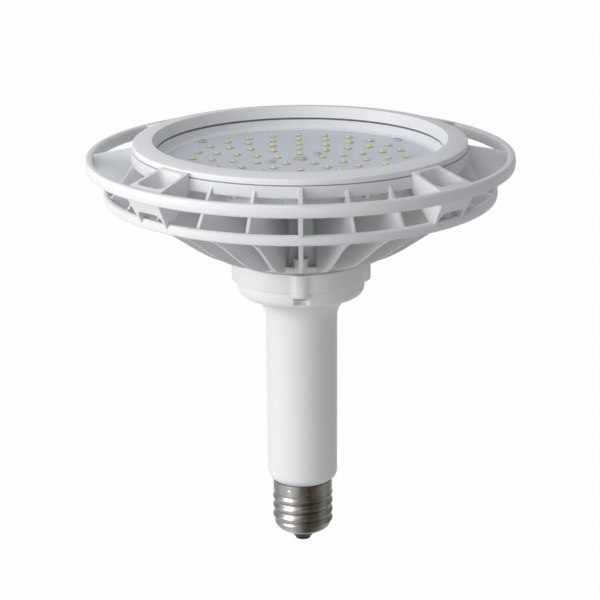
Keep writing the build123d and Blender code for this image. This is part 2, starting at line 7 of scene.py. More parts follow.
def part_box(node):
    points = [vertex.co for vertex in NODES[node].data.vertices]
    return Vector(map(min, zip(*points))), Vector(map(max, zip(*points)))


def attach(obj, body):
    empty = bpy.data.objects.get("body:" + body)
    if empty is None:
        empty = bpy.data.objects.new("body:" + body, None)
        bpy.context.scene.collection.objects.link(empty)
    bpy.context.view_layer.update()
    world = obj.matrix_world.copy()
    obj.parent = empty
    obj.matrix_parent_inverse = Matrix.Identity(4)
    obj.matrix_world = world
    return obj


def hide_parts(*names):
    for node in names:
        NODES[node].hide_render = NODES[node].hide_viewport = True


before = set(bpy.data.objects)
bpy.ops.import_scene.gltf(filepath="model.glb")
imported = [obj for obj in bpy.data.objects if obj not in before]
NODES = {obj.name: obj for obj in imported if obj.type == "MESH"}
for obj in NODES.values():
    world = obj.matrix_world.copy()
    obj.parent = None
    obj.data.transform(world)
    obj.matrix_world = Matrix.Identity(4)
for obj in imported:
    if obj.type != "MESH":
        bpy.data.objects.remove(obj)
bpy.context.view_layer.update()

# Looks of a white high bay LED lamp. The scene is in metres, +Z up, in the same frame as the solids.
# The pieces made here are given in millimetres, and add_piece turns them into metres.
MM = 0.001


def low_z(node):
    """A solid's lowest point, in millimetres."""
    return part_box(node)[0][2] / MM


def high_z(node):
    """A solid's highest point, in millimetres."""
    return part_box(node)[1][2] / MM


# The photograph's camera: 600 pixels wide, fitted to the rings of chips
TARGET = Vector((0, 0, 0.16456))
DISTANCE = 1.5168
ELEVATION = math.radians(16.73)
ROLL = math.radians(-0.45)
FOCAL_PX = 2349.8
IMAGE_PX = 600
SENSOR_MM = 36.0
OFFSET_PX = 1.32

# The 39 mm Edison cap with its rolled thread
CAP_LOW_Z = low_z("cap_shell")
CAP_TOP_Z = high_z("cap_shell")
CAP_CREST_R = 19.7
CAP_ROOT_R = 18.25
CAP_SKIRT_R = 19.3
CAP_PITCH = 6.35
CAP_CREST_Z = 27.0
CAP_WALL = 0.4
CAP_FLOOR_T = 0.5
CAP_HOLE_R = 12.0
CAP_TAPER = [(13.2, 7.15), (14.6, 7.9), (16.2, 9.0), (17.4, 10.2), (18.0, 11.2)]
CAP_INSIDE = [(18.6, 36.0), (17.3, 30.0), (17.3, 13.0)]
CAP_TURNS = 160
THREAD_LOW_Z = 12.0
THREAD_HIGH_Z = 35.0
THREAD_FADE_LOW = 2.5
THREAD_FADE_HIGH = 2.0
THREAD_STEP = 0.3
KNUCKLE_POWER = 0.75
RUN_OUT = 0.8
PUNCH_MARKS = ((241, 39.6), (279, 38.2))
PUNCH_DEPTH = 0.55
PUNCH_R = 0.75

# Housing: stem, flare and band
STEM_LOW_R = 22.7
STEM_HIGH_R = 23.2
STEM_WALL = 2.7
NECK_R = 17.1
NECK_WALL = 1.5
NECK_LOW_Z = low_z("driver_housing") + 0.1
NECK_FLOOR_Z = 45.0
STEM_EDGE = 6.0
FLARE_Z = 165.3
FLARE_BLEND = 15.5
BAND_R = 40.9
BAND_LOW_Z = 171.5
BAND_BLEND = 6.0
FINE_Z = 168.0
FINE_STEP = 0.6
NOTCHED_R = 39.0
SPIGOT_R = 38.6
SPIGOT_WALL = 2.2
SPIGOT_TOP_Z = 192.0
FLARE_INSIDE_LOW_Z = 164.0
FLARE_INSIDE_HIGH_Z = 172.0
GROOVE_Z = 172.2
GROOVE_HALF_W = 4.9
GROOVE_DEPTH = 3.4
GROOVE_RISE = 1.8

# Collar with four bosses, and the screws under them
SINK_Z = low_z("heat_sink")
SEAM_Z = SINK_Z - 15.0
SCREW_TURNS = (0, 90, 180, 270)
FINE_TURN = 0.15
FINE_STEPS = 90
COARSE_STEPS = 32
COLLAR_R = 42.6
COLLAR_WALL = 3.6
COLLAR_NECK_R = 39.6
COLLAR_LOW_EDGE = 1.1
COLLAR_TOP_EDGE = 0.6
BOSSED_R = COLLAR_NECK_R + 0.2
COLLAR_TOP_Z = SINK_Z - 2.1
COLLAR_BLEND = 10.0
BOSS_AXIS_R = 37.3
BOSS_R = 7.4
BOSS_FOOT_Z = SEAM_Z - 3.0
BOSS_FOOT_BLEND = 2.9
BOSS_OVERLAP = 1.2
SCREW_AXIS_R = BOSS_AXIS_R + 0.3
SCREW_HEAD_R = 3.9
SCREW_HEAD_EDGE = 0.8
SCREW_SHANK_R = 2.0
SCREW_HEAD_LOW_Z = BOSS_FOOT_Z - 1.0
SCREW_HEAD_TOP_Z = BOSS_FOOT_Z + 1.4
SCREW_TOP_Z = SINK_Z + 7.0

# Window: bezel, seal, cover and the reflector's wall
BOARD_TOP_Z = high_z("led_board")
COVER_LOW_Z = low_z("cover_lens")
COVER_TOP_Z = high_z("cover_lens")
SEAT_Z = low_z("reflector_ring")
RIM_TOP_Z = 266.3
BEZEL_R = 106.0
BEZEL_BORE_R = 91.0
BEZEL_STEP_R = 97.8
BEZEL_FOOT_R = 103.5
BEZEL_EDGE_Z = 270.5
BEZEL_CREST_R = 93.4
BEZEL_CREST_Z = BEZEL_EDGE_Z + 1.7
BEZEL_EDGE = 0.8
BEZEL_LIP = 0.5
BEZEL_GAP = 0.6
SEAL_BORE_R = BEZEL_BORE_R + 0.05
SEAL_T = 0.3
COVER_R = 91.1
COVER_RIM_R = 95.7
COVER_RIM_T = 1.0
COVER_PLAY = 0.2
COVER_CLEARANCE = 0.1
BOARD_EDGE_R = 89.4
REFLECTOR_BORE_R = 87.0
WALL_FOOT_R = 90.4
WALL_FOOT_H = 0.5
WALL_FOOT_BLEND = 2.2
WALL_LIP_H = 0.3
WINDOW_TURNS = 256

# Chips, in rings that each have 5 more than the one inside, and the sealant
CHIP_RING_RADII = (15.06, 28.64, 42.20, 55.79, 68.37)
CHIPS_PER_RING = 5
CHIP_TURN = math.radians(0.8)
CHIP_SECTIONS = [(2.1, 0.0), (2.1, 0.4), (2.0, 0.5)]
CHIP_ROUND = 0.15
LENS_SECTIONS = [(1.9, 0.5), (1.7, 0.8), (1.15, 1.2), (0.7, 1.7), (0.35, 2.2)]
LENS_ROUND = 0.45
SEALANT_R = 6.3
SEALANT_H = 2.3
SEALANT_LOBES = 7
SEALANT_RINGS = 22
SEALANT_TURNS = 56

# Edges sharper than this, in degrees, stay sharp in a smooth piece
SHARP_ANGLE = 60

# Steps in an arc of an edge, of the flare and of the reflector wall's foot, and sides of a round piece
EDGE_STEPS = 5
FLARE_STEPS = 12
WALL_FOOT_STEPS = 6
SCREW_SIDES = 40
BOSS_SIDES = 48

# Share of white that the floor shows to the camera; the rest is its shaded paint
FLOOR_WHITE = 0.98
FLOOR_HALF = 12.0
FLOOR_Z = -0.0004

# Lights: name, place, width, height and power
LIGHTS = (("key_left", (-1.5, -0.75, 0.45), 1.0, 1.4, 22.8),
          ("fill_front", (0.35, -1.6, 0.2), 0.8, 0.8, 3.8),
          ("top_front", (-0.55, -0.5, 1.2), 0.7, 0.7, 4.9))
LIGHT_AIM = Vector((0, 0, 0.18))
SKY_COLOUR = (0.93, 0.96, 1.0)
SKY_STRENGTH = 0.30

# Share of a paint's cells that carry a spot, and the cap's painted reflection and shade from left to right:
# bright bands at the left, darkest right of the middle
SPOT_SHARE = 0.07
REFLECTION_BANDS_LEFT = -0.016
REFLECTION_BANDS_RIGHT = 0.024
REFLECTION_BANDS_DRIFT = 0.008
PAINTED_REFLECTION_BANDS = [(0.0, (0.12, 0.11, 0.10)), (0.1, (0.30, 0.29, 0.28)), (0.3, (0.48, 0.47, 0.46)),
           (0.40, (0.26, 0.25, 0.23)), (0.50, (0.10, 0.09, 0.075)), (0.62, (0.035, 0.030, 0.022)),
           (0.73, (0.08, 0.07, 0.06)), (0.84, (0.18, 0.17, 0.155)), (1.0, (0.06, 0.052, 0.045))]


# Materials

def new_material(name):
    material = bpy.data.materials.new(name)
    material.use_nodes = True
    shader = material.node_tree.nodes["Principled BSDF"]
    return material, material.node_tree.nodes, material.node_tree.links, shader


def noise(nodes, links, scale, detail=4.0, roughness=0.5, stretch=(1, 1, 1)):
    """A noise texture in object space."""
    place = nodes.new("ShaderNodeTexCoord")
    shape = nodes.new("ShaderNodeMapping")
    shape.inputs["Scale"].default_value = stretch
    links.new(place.outputs["Object"], shape.inputs["Vector"])
    texture = nodes.new("ShaderNodeTexNoise")
    texture.inputs["Scale"].default_value = scale
    texture.inputs["Detail"].default_value = detail
    texture.inputs["Roughness"].default_value = roughness
    links.new(shape.outputs["Vector"], texture.inputs["Vector"])
    return texture.outputs["Fac"]


def ramp(nodes, links, source, stops):
    """A colour ramp over a value."""
    node = nodes.new("ShaderNodeValToRGB")
    node.color_ramp.elements[0].position = stops[0][0]
    node.color_ramp.elements[0].color = (*stops[0][1], 1)
    node.color_ramp.elements[1].position = stops[-1][0]
    node.color_ramp.elements[1].color = (*stops[-1][1], 1)
    for position, colour in stops[1:-1]:
        element = node.color_ramp.elements.new(position)
        element.color = (*colour, 1)
    links.new(source, node.inputs["Fac"])
    return node.outputs["Color"]


def grey(value):
    return (value, value, value)


def map_range(nodes, links, source, low, high, out_low, out_high):
    node = nodes.new("ShaderNodeMapRange")
    for name, value in (("From Min", low), ("From Max", high), ("To Min", out_low), ("To Max", out_high)):
        node.inputs[name].default_value = value
    links.new(source, node.inputs["Value"])
    return node.outputs["Result"]


def bumped(nodes, links, shader, height, strength, distance, edge=0.0):
    """Bump on the shader, over edges rounded by the radius edge."""
    bump = nodes.new("ShaderNodeBump")
    bump.inputs["Strength"].default_value = strength
    bump.inputs["Distance"].default_value = distance
    links.new(height, bump.inputs["Height"])
    if edge:
        bevel = nodes.new("ShaderNodeBevel")
        bevel.samples = 6
        bevel.inputs["Radius"].default_value = edge
        links.new(bevel.outputs["Normal"], bump.inputs["Normal"])
    links.new(bump.outputs["Normal"], shader.inputs["Normal"])


def speckled(nodes, links, base, spot, scale, threshold):
    """A base colour with a few small spots of another."""
    place = nodes.new("ShaderNodeTexCoord")
    cells = nodes.new("ShaderNodeTexVoronoi")
    cells.inputs["Scale"].default_value = scale
    links.new(place.outputs["Object"], cells.inputs["Vector"])
    near = map_range(nodes, links, cells.outputs["Distance"], threshold * 0.6, threshold, 1, 0)
    pick = nodes.new("ShaderNodeSeparateColor")
    links.new(cells.outputs["Color"], pick.inputs["Color"])
    bare = 1 - SPOT_SHARE
    chosen = map_range(nodes, links, pick.outputs["Red"], bare, bare + 0.01, 0, 1)
    both = nodes.new("ShaderNodeMath")
    both.operation = "MULTIPLY"
    links.new(near, both.inputs[0])
    links.new(chosen, both.inputs[1])
    mix = nodes.new("ShaderNodeMix")
    mix.data_type = "RGBA"
    mix.inputs["B"].default_value = (*spot, 1)
    links.new(both.outputs[0], mix.inputs["Factor"])
    links.new(base, mix.inputs["A"])
    return mix.outputs["Result"]


def cast_paint(name, value, edge, grain):
    """White paint over a fine cast texture, with a few dark spots painted as the shade in pin holes."""
    material, nodes, links, shader = new_material(name)
    low = (value * 0.965, value * 0.985, value)
    high = (value * 0.99, value, value * 1.005)
    tone = ramp(nodes, links, noise(nodes, links, 22, 3), [(0.35, low), (0.65, high)])
    # The grey spots are painted shade of pin holes; the surface itself has no holes.
    links.new(speckled(nodes, links, tone, grey(0.30), 95, 0.045), shader.inputs["Base Color"])
    shader.inputs["Roughness"].default_value = 0.42
    shader.inputs["Specular IOR Level"].default_value = 0.25
    bumped(nodes, links, shader, noise(nodes, links, 520, 5, 0.6), grain, 0.0005, edge)
    return material


def moulded_plastic(name, value, edge):
    """White moulded plastic with a soft gloss and a faint orange peel."""
    material, nodes, links, shader = new_material(name)
    low = (value * 0.985, value * 0.99, value)
    high = (value, value, value)
    tone = ramp(nodes, links, noise(nodes, links, 14, 2), [(0.4, low), (0.6, high)])
    links.new(speckled(nodes, links, tone, grey(0.42), 60, 0.03), shader.inputs["Base Color"])
    shader.inputs["Roughness"].default_value = 0.45
    shader.inputs["Specular IOR Level"].default_value = 0.2
    bumped(nodes, links, shader, noise(nodes, links, 260, 2, 0.4), 0.05, 0.0004, edge)
    return material


def plated_brass():
    """Nickel plate, warm grey, with reflection and shade painted into its colour in upright bands."""
    material, nodes, links, shader = new_material("plated_cap")
    place = nodes.new("ShaderNodeTexCoord")
    axes = nodes.new("ShaderNodeSeparateXYZ")
    links.new(place.outputs["Object"], axes.inputs["Vector"])
    drift = nodes.new("ShaderNodeMath")
    drift.operation = "MULTIPLY_ADD"
    drift.inputs[1].default_value = REFLECTION_BANDS_DRIFT
    links.new(noise(nodes, links, 160, 5, 0.6, (1, 1, 0.3)), drift.inputs[0])
    links.new(axes.outputs["X"], drift.inputs[2])
    across = map_range(nodes, links, drift.outputs[0], REFLECTION_BANDS_LEFT, REFLECTION_BANDS_RIGHT, 0, 1)
    # Painted reflection and shade: the colour runs across the cap's X from bright at the left to dark right
    # of the middle.
    tone = ramp(nodes, links, across, PAINTED_REFLECTION_BANDS)
    links.new(tone, shader.inputs["Base Color"])
    shader.inputs["Metallic"].default_value = 1.0
    wear = map_range(nodes, links, noise(nodes, links, 320, 5, 0.6), 0.3, 0.7, 0.26, 0.36)
    links.new(wear, shader.inputs["Roughness"])
    bumped(nodes, links, shader, noise(nodes, links, 900, 4, 0.6), 0.06, 0.0003)
    return material


def plain(name, colour, roughness, metallic=0.0, grain=0.05, scale=300, spread=0.06, specular=0.5):
    """A material with a little tone and bump of its own."""
    material, nodes, links, shader = new_material(name)
    dark = tuple(c * (1 - spread) for c in colour)
    pale = tuple(min(1.0, c * (1 + spread)) for c in colour)
    links.new(ramp(nodes, links, noise(nodes, links, scale, 4), [(0.35, dark), (0.65, pale)]),
              shader.inputs["Base Color"])
    shader.inputs["Roughness"].default_value = roughness
    shader.inputs["Metallic"].default_value = metallic
    shader.inputs["Specular IOR Level"].default_value = specular
    bumped(nodes, links, shader, noise(nodes, links, scale * 3, 3), grain, 0.0003)
    return material


def clear_cover():
    """Clear sheet with a faint haze."""
    material, nodes, links, shader = new_material("clear_cover")
    stops = [(0.3, (0.90, 0.92, 0.95)), (0.7, (0.95, 0.96, 0.98))]
    links.new(ramp(nodes, links, noise(nodes, links, 30, 3), stops), shader.inputs["Base Color"])
    shader.inputs["Roughness"].default_value = 0.08
    shader.inputs["Alpha"].default_value = 0.10
    return material


def chip_material(name, colour, roughness):
    material, nodes, links, shader = new_material(name)
    dark = tuple(c * 0.88 for c in colour)
    links.new(ramp(nodes, links, noise(nodes, links, 900, 3), [(0.35, dark), (0.65, colour)]),
              shader.inputs["Base Color"])
    shader.inputs["Roughness"].default_value = roughness
    return material


def sealant():
    """Pale grey silicone that lets a little light in."""
    material, nodes, links, shader = new_material("sealant")
    stops = [(0.3, (0.40, 0.40, 0.39)), (0.7, (0.56, 0.55, 0.53))]
    links.new(ramp(nodes, links, noise(nodes, links, 400, 4), stops), shader.inputs["Base Color"])
    shader.inputs["Roughness"].default_value = 0.3
    shader.inputs["Subsurface Weight"].default_value = 0.3
    shader.inputs["Subsurface Radius"].default_value = (0.002, 0.002, 0.002)
    shader.inputs["Subsurface Scale"].default_value = 1.0
    bumped(nodes, links, shader, noise(nodes, links, 700, 3), 0.1, 0.0004)
    return material


# Meshes

def add_piece(name, vertices, faces, material, *replaced, smooth=True):
    """A mesh piece, in millimetres, that rides on the lamp's one body."""
    mesh = bpy.data.meshes.new(name)
    mesh.from_pydata([(x * MM, y * MM, z * MM) for x, y, z in vertices], [], faces)
    mesh.update()
    for polygon in mesh.polygons:
        polygon.use_smooth = smooth
    mesh.set_sharp_from_angle(angle=math.radians(SHARP_ANGLE))
    piece = bpy.data.objects.new(name, mesh)
    bpy.context.scene.collection.objects.link(piece)
    mesh.materials.append(material)
    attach(piece, "root")
    if replaced:
        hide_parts(*replaced)
    return piece


def rounded(points, radii, steps=8):
    """A polyline's points, with arcs at the corners that have a radius."""
    result = []
    for index, point in enumerate(points):
        radius = radii.get(index, 0)
        if not radius:
            result.append(point)
            continue
        corner = Vector(point)
        back = (Vector(points[index - 1]) - corner).normalized()
        ahead = (Vector(points[(index + 1) % len(points)]) - corner).normalized()
        half = back.angle(ahead) / 2
        centre = corner + (back + ahead).normalized() * (radius / math.sin(half))
        start = corner + back * (radius / math.tan(half)) - centre
        end = corner + ahead * (radius / math.tan(half)) - centre
        sweep = start.angle_signed(end)
        for step in range(steps + 1):
            turn = -sweep * step / steps
            arc = Vector((start.x * math.cos(turn) - start.y * math.sin(turn),
                          start.x * math.sin(turn) + start.y * math.cos(turn)))
            result.append(tuple(centre + arc))
    return result


def turned_mesh(profile, turns, reach=None, centre=(0.0, 0.0)):
    """A profile turned about an upright axis, closed or ending on it; reach may change its radius."""
    vertices, faces, rows = [], [], []
    steps = len(turns)
    for r, z in profile:
        start = len(vertices)
        if r == 0:
            vertices.append((*centre, z))
            rows.append([start] * steps)
            continue
        for turn in turns:
            out = reach(turn, r, z) if reach else r
            vertices.append((centre[0] + out * math.cos(turn), centre[1] + out * math.sin(turn), z))
        rows.append(range(start, start + steps))
    for index, row in enumerate(rows):
        above = rows[(index + 1) % len(rows)]
        for step in range(steps):
            after = (step + 1) % steps
            face = list(dict.fromkeys((row[step], row[after], above[after], above[step])))
            if len(face) > 2:
                faces.append(face)
    return vertices, faces


def merged(parts):
    """One mesh of several."""
    vertices, faces = [], []
    for part_vertices, part_faces in parts:
        start = len(vertices)
        vertices += part_vertices
        faces += [tuple(start + index for index in face) for face in part_faces]
    return vertices, faces


def even_turns(count):
    return [2 * math.pi * index / count for index in range(count)]


def at_each_screw(profile, axis_r, count):
    """A turned profile on the axis of each of the four screws."""
    parts = []
    for turn in map(math.radians, SCREW_TURNS):
        centre = (axis_r * math.cos(turn), axis_r * math.sin(turn))
        parts.append(turned_mesh(profile, even_turns(count), centre=centre))
    return parts


# Screw cap

def thread_radius(turn, z):
    """The cap's outside: knuckles that fade out at both ends of the thread."""
    phase = (z - CAP_CREST_Z) / CAP_PITCH - turn / (2 * math.pi)
    knuckle = (0.5 + 0.5 * math.cos(2 * math.pi * phase)) ** KNUCKLE_POWER
    fade_low = min(1, max(0, (z - THREAD_LOW_Z) / THREAD_FADE_LOW))
    fade_high = min(1, max(0, (THREAD_HIGH_Z - z) / THREAD_FADE_HIGH))
    root = CAP_ROOT_R + (CAP_SKIRT_R - CAP_ROOT_R) * (1 - fade_high)
    fade = fade_low * fade_high * (1 - (1 - fade_high) * RUN_OUT)
    return root + (CAP_CREST_R - CAP_ROOT_R) * knuckle * fade


def punch(turn, z):
    """Depth of the small punch marks in the skirt."""
    depth = 0
    for mark_turn, mark_z in PUNCH_MARKS:
        across = (turn - math.radians(mark_turn)) * CAP_SKIRT_R
        depth += PUNCH_DEPTH * math.exp(-(math.hypot(across, z - mark_z) / PUNCH_R) ** 2)
    return depth


def build_cap():
    """The screw shell with its real thread, as one thin sheet with an inside."""
    bottom = [(CAP_HOLE_R, CAP_LOW_Z), *CAP_TAPER]
    steps = int((CAP_TOP_Z - THREAD_LOW_Z) / THREAD_STEP)
    outside = [(CAP_SKIRT_R, THREAD_LOW_Z + index * THREAD_STEP) for index in range(steps + 1)]
    inside = [(CAP_SKIRT_R - CAP_WALL, outside[-1][1]), *CAP_INSIDE, (CAP_HOLE_R, CAP_LOW_Z + CAP_FLOOR_T)]

    def reach(turn, r, z):
        return thread_radius(turn, z) - punch(turn, z) if r == CAP_SKIRT_R else r
    shell = turned_mesh(bottom + outside + inside, even_turns(CAP_TURNS), reach)
    return add_piece("cap_screw_shell", *shell, plated_brass(), "cap_shell")


# Sealant

def lobe_reach(turn, lobe):
    """How far a round lobe reaches from the centre in a direction."""
    x, y, radius, _ = lobe
    along = x * math.cos(turn) + y * math.sin(turn)
    off = x * math.sin(turn) - y * math.cos(turn)
    if abs(off) >= radius:
        return 0
    return along + math.sqrt(radius ** 2 - off ** 2)


def lobe_height(x, y, lobe):
    lobe_x, lobe_y, radius, height = lobe
    share = 1 - ((x - lobe_x) ** 2 + (y - lobe_y) ** 2) / radius ** 2
    return height * math.sqrt(share) if share > 0 else 0


def sealant_lobes():
    """A round heap with smaller lobes round it: place, radius and height of each."""
    rng = random.Random(7)
    lobes = [(0.0, 0.0, 4.4, SEALANT_H)]
    for index in range(SEALANT_LOBES):
        turn = index * 2 * math.pi / SEALANT_LOBES + rng.uniform(-0.2, 0.2)
        reach = rng.uniform(2.6, 3.9)
        radius = rng.uniform(1.9, 2.6)
        lobes.append((reach * math.cos(turn), reach * math.sin(turn), radius, rng.uniform(1.1, 1.9)))
    return lobes


def build_seal():
    """Lobed blob of sealant."""
    lobes = sealant_lobes()
    low = low_z("wire_seal")
    rings, turns = SEALANT_RINGS, SEALANT_TURNS
    vertices = []
    for ring in range(1, rings + 1):
        for turn in even_turns(turns):
            edge = max(lobe_reach(turn, lobe) for lobe in lobes)
            r = min(edge, SEALANT_R) * ring / rings
            x, y = r * math.cos(turn), r * math.sin(turn)
            height = max(lobe_height(x, y, lobe) for lobe in lobes) if ring < rings else 0
            vertices.append((x, y, low + height))
    centre = len(vertices)
    vertices.append((0, 0, low + SEALANT_H))
    faces = [(centre, index, (index + 1) % turns) for index in range(turns)]
    for ring in range(rings - 1):
        for index in range(turns):
            after = (index + 1) % turns
            faces.append((ring * turns + index, (ring + 1) * turns + index, (ring + 1) * turns + after,
                          ring * turns + after))
    faces.append([(rings - 1) * turns + index for index in reversed(range(turns))])
    return add_piece("sealant_blob", vertices, faces, sealant(), "wire_seal")


# Chips

def square_ring(half, z, round_share, steps=3):
    """A square with rounded corners, as points at one height."""
    radius = half * round_share
    points = []
    for corner, (sx, sy) in enumerate(((1, 1), (-1, 1), (-1, -1), (1, -1))):
        for step in range(steps + 1):
            turn = math.radians(90 * corner + 90 * step / steps)
            points.append((sx * (half - radius) + radius * math.cos(turn),
                           sy * (half - radius) + radius * math.sin(turn), z))
    return points


def chip_mesh(sections, round_share, radius, turn):
    """A chip's base or lens, as squares stacked on the board, turned about the lamp's axis."""
    rings = [square_ring(half, z, round_share) for half, z in sections]
    cos, sin = math.cos(turn), math.sin(turn)
    vertices = [(x * cos - (y + radius) * sin, x * sin + (y + radius) * cos, BOARD_TOP_Z + z)
                for ring in rings for x, y, z in ring]
    size = len(rings[0])
    faces = []
    for row in range(len(rings) - 1):
        for step in range(size):
            after = (step + 1) % size
            faces.append((row * size + step, row * size + after,
                          (row + 1) * size + after, (row + 1) * size + step))
    faces.append([(len(rings) - 1) * size + step for step in range(size)])
    faces.append(list(reversed(range(size))))
    return vertices, faces


def chips_mesh(sections, round_share):
    """One mesh of all the chips' bases or lenses."""
    parts = []
    for index, radius in enumerate(CHIP_RING_RADII):
        count = CHIPS_PER_RING * (index + 1)
        parts += [chip_mesh(sections, round_share, radius, CHIP_TURN + turn) for turn in even_turns(count)]
    return merged(parts)


def build_chips():
    """Each chip has a dark base and a yellow lens."""
    base = chip_material("chip_base", (0.26, 0.25, 0.19), 0.5)
    add_piece("chip_bases", *chips_mesh(CHIP_SECTIONS, CHIP_ROUND), base, "led_chips", smooth=False)
    glass = chip_material("chip_lens", (0.80, 0.76, 0.42), 0.25)
    lens = add_piece("chip_lenses", *chips_mesh(LENS_SECTIONS, LENS_ROUND), glass)


# Collar, housing and the screws between them

def screw_turns():
    """Directions that are close together near the four screws and wider apart between them."""
    turns = []
    fine_half = FINE_STEPS * FINE_TURN
    coarse_turn = (90 - 2 * fine_half) / COARSE_STEPS
    for screw in SCREW_TURNS:
        turns += [screw + step * FINE_TURN for step in range(-FINE_STEPS, FINE_STEPS + 1)]
        turns += [screw + fine_half + step * coarse_turn for step in range(1, COARSE_STEPS)]
    return [math.radians(turn) for turn in turns]


def off_screw(turn):
    """The angle from the nearest screw's direction, never negative."""
    quarter = math.pi / 2
    return abs((turn + quarter / 2) % quarter - quarter / 2)


def circle_reach(off, centre, radius, side):
    """Where a ray at an angle off a circle's centre meets it: on the far side, 1, or the near side, -1."""
    return centre * math.cos(off) + side * math.sqrt(radius ** 2 - (centre * math.sin(off)) ** 2)


def collar_reach(off):
    """The collar's outside: a ring with round bosses, blended by hollow fillets."""
    span = COLLAR_R + COLLAR_BLEND
    x = (span ** 2 + BOSS_AXIS_R ** 2 - (BOSS_R + COLLAR_BLEND) ** 2) / (2 * BOSS_AXIS_R)
    y = math.sqrt(span ** 2 - x ** 2)
    blend = math.acos(x / span)
    share = BOSS_R / (BOSS_R + COLLAR_BLEND)
    touch = math.atan2(y * share, BOSS_AXIS_R + (x - BOSS_AXIS_R) * share)
    if off >= blend:
        return COLLAR_R
    if off <= touch:
        return circle_reach(off, BOSS_AXIS_R, BOSS_R, 1)
    return circle_reach(blend - off, span, COLLAR_BLEND, -1)


def build_collar(material):
    """Ring with four bosses that hang below the seam, over a narrower neck under the heat sink."""
    inner = COLLAR_R - COLLAR_WALL
    profile = rounded([(inner, SEAM_Z), (COLLAR_R, SEAM_Z), (COLLAR_R, COLLAR_TOP_Z),
                       (COLLAR_NECK_R, COLLAR_TOP_Z), (COLLAR_NECK_R, SINK_Z), (inner, SINK_Z)],
                      {1: COLLAR_LOW_EDGE, 2: COLLAR_TOP_EDGE}, EDGE_STEPS)

    def reach(turn, r, z):
        return r + collar_reach(off_screw(turn)) - COLLAR_R if r > BOSSED_R else r
    foot = rounded([(0, BOSS_FOOT_Z), (BOSS_R, BOSS_FOOT_Z), (BOSS_R, SEAM_Z + BOSS_OVERLAP),
                    (0, SEAM_Z + BOSS_OVERLAP)], {1: BOSS_FOOT_BLEND})
    parts = [turned_mesh(profile, screw_turns(), reach)] + at_each_screw(foot, BOSS_AXIS_R, BOSS_SIDES)
    return add_piece("collar_shell", *merged(parts), material, "mounting_collar")


def housing_outside():
    """Neck in the cap, stem, flare and band, cut into short rows where the notches lie."""
    line = rounded([(NECK_R, NECK_LOW_Z), (NECK_R, CAP_TOP_Z), (STEM_LOW_R, CAP_TOP_Z),
                    (STEM_HIGH_R, FLARE_Z), (BAND_R, BAND_LOW_Z), (BAND_R, SEAM_Z)],
                   {2: STEM_EDGE, 3: FLARE_BLEND, 4: BAND_BLEND}, FLARE_STEPS)
    rows = []
    for (r0, z0), (r1, z1) in zip(line, line[1:]):
        steps = max(1, int((z1 - z0) / FINE_STEP)) if z0 > FINE_Z else 1
        rows += [(r0 + (r1 - r0) * step / steps, z0 + (z1 - z0) * step / steps) for step in range(steps)]
    return rows + [line[-1]]


def build_housing(material):
    """Stem, flare and band, with four notches for the screwdriver."""
    stem_bore = STEM_HIGH_R - STEM_WALL
    spigot_bore = SPIGOT_R - SPIGOT_WALL
    neck_bore = NECK_R - NECK_WALL
    inside = [(SPIGOT_R, SEAM_Z), (SPIGOT_R, SPIGOT_TOP_Z), (spigot_bore, SPIGOT_TOP_Z),
              (spigot_bore, FLARE_INSIDE_HIGH_Z), (stem_bore, FLARE_INSIDE_LOW_Z), (stem_bore, NECK_FLOOR_Z),
              (neck_bore, NECK_FLOOR_Z), (neck_bore, NECK_LOW_Z)]

    def reach(turn, r, z):
        across = BAND_R * math.sin(off_screw(turn)) / GROOVE_HALF_W
        if r < NOTCHED_R or z <= GROOVE_Z or across >= 1:
            return r
        rise = min(1, (z - GROOVE_Z) / GROOVE_RISE)
        return min(r, BAND_R - GROOVE_DEPTH * rise * (1 - across ** 2) ** 0.5)
    shell = turned_mesh(housing_outside() + inside, screw_turns(), reach)
    return add_piece("housing_shell", *shell, material, "driver_housing")


def build_housing_screws(material):
    """Sunk pan heads with a lip that shows under each boss."""
    profile = rounded([(0, SCREW_HEAD_LOW_Z), (SCREW_HEAD_R, SCREW_HEAD_LOW_Z),
                       (SCREW_HEAD_R, SCREW_HEAD_TOP_Z), (SCREW_SHANK_R, SCREW_HEAD_TOP_Z),
                       (SCREW_SHANK_R, SCREW_TOP_Z), (0, SCREW_TOP_Z)], {1: SCREW_HEAD_EDGE}, EDGE_STEPS)
    screws = merged(at_each_screw(profile, SCREW_AXIS_R, SCREW_SIDES))
    return add_piece("collar_screws", *screws, material, "housing_screws")


# Window: bezel, seal, cover and the reflector's wall

def build_bezel(material, turns):
    """Clamping ring with a crisp top edge and a thin gap over the rim."""
    low = COVER_TOP_Z + SEAL_T
    gap_z = RIM_TOP_Z + BEZEL_GAP
    profile = rounded([(BEZEL_BORE_R, low), (BEZEL_STEP_R, low), (BEZEL_STEP_R, RIM_TOP_Z),
                       (BEZEL_FOOT_R, RIM_TOP_Z), (BEZEL_FOOT_R, gap_z), (BEZEL_R, gap_z),
                       (BEZEL_R, BEZEL_EDGE_Z), (BEZEL_CREST_R, BEZEL_CREST_Z)],
                      {6: BEZEL_EDGE, 7: BEZEL_LIP}, EDGE_STEPS)
    return add_piece("bezel_hoop", *turned_mesh(profile, turns), material, "bezel_ring")


def build_cover_seal(material, turns):
    """Flat ring between bezel and cover."""
    top = COVER_TOP_Z + SEAL_T
    profile = [(SEAL_BORE_R, COVER_TOP_Z), (BEZEL_STEP_R, COVER_TOP_Z), (BEZEL_STEP_R, top),
               (SEAL_BORE_R, top)]
    return add_piece("cover_seal", *turned_mesh(profile, turns), material, "cover_gasket")


def build_cover(material, turns):
    """Clear pane with a thinner rim under the seal."""
    step = COVER_TOP_Z - COVER_RIM_T
    profile = [(0, COVER_LOW_Z), (COVER_R, COVER_LOW_Z), (COVER_R, step), (COVER_RIM_R, step),
               (COVER_RIM_R, COVER_TOP_Z), (0, COVER_TOP_Z)]
    return add_piece("cover_pane", *turned_mesh(profile, turns), material, "cover_lens")


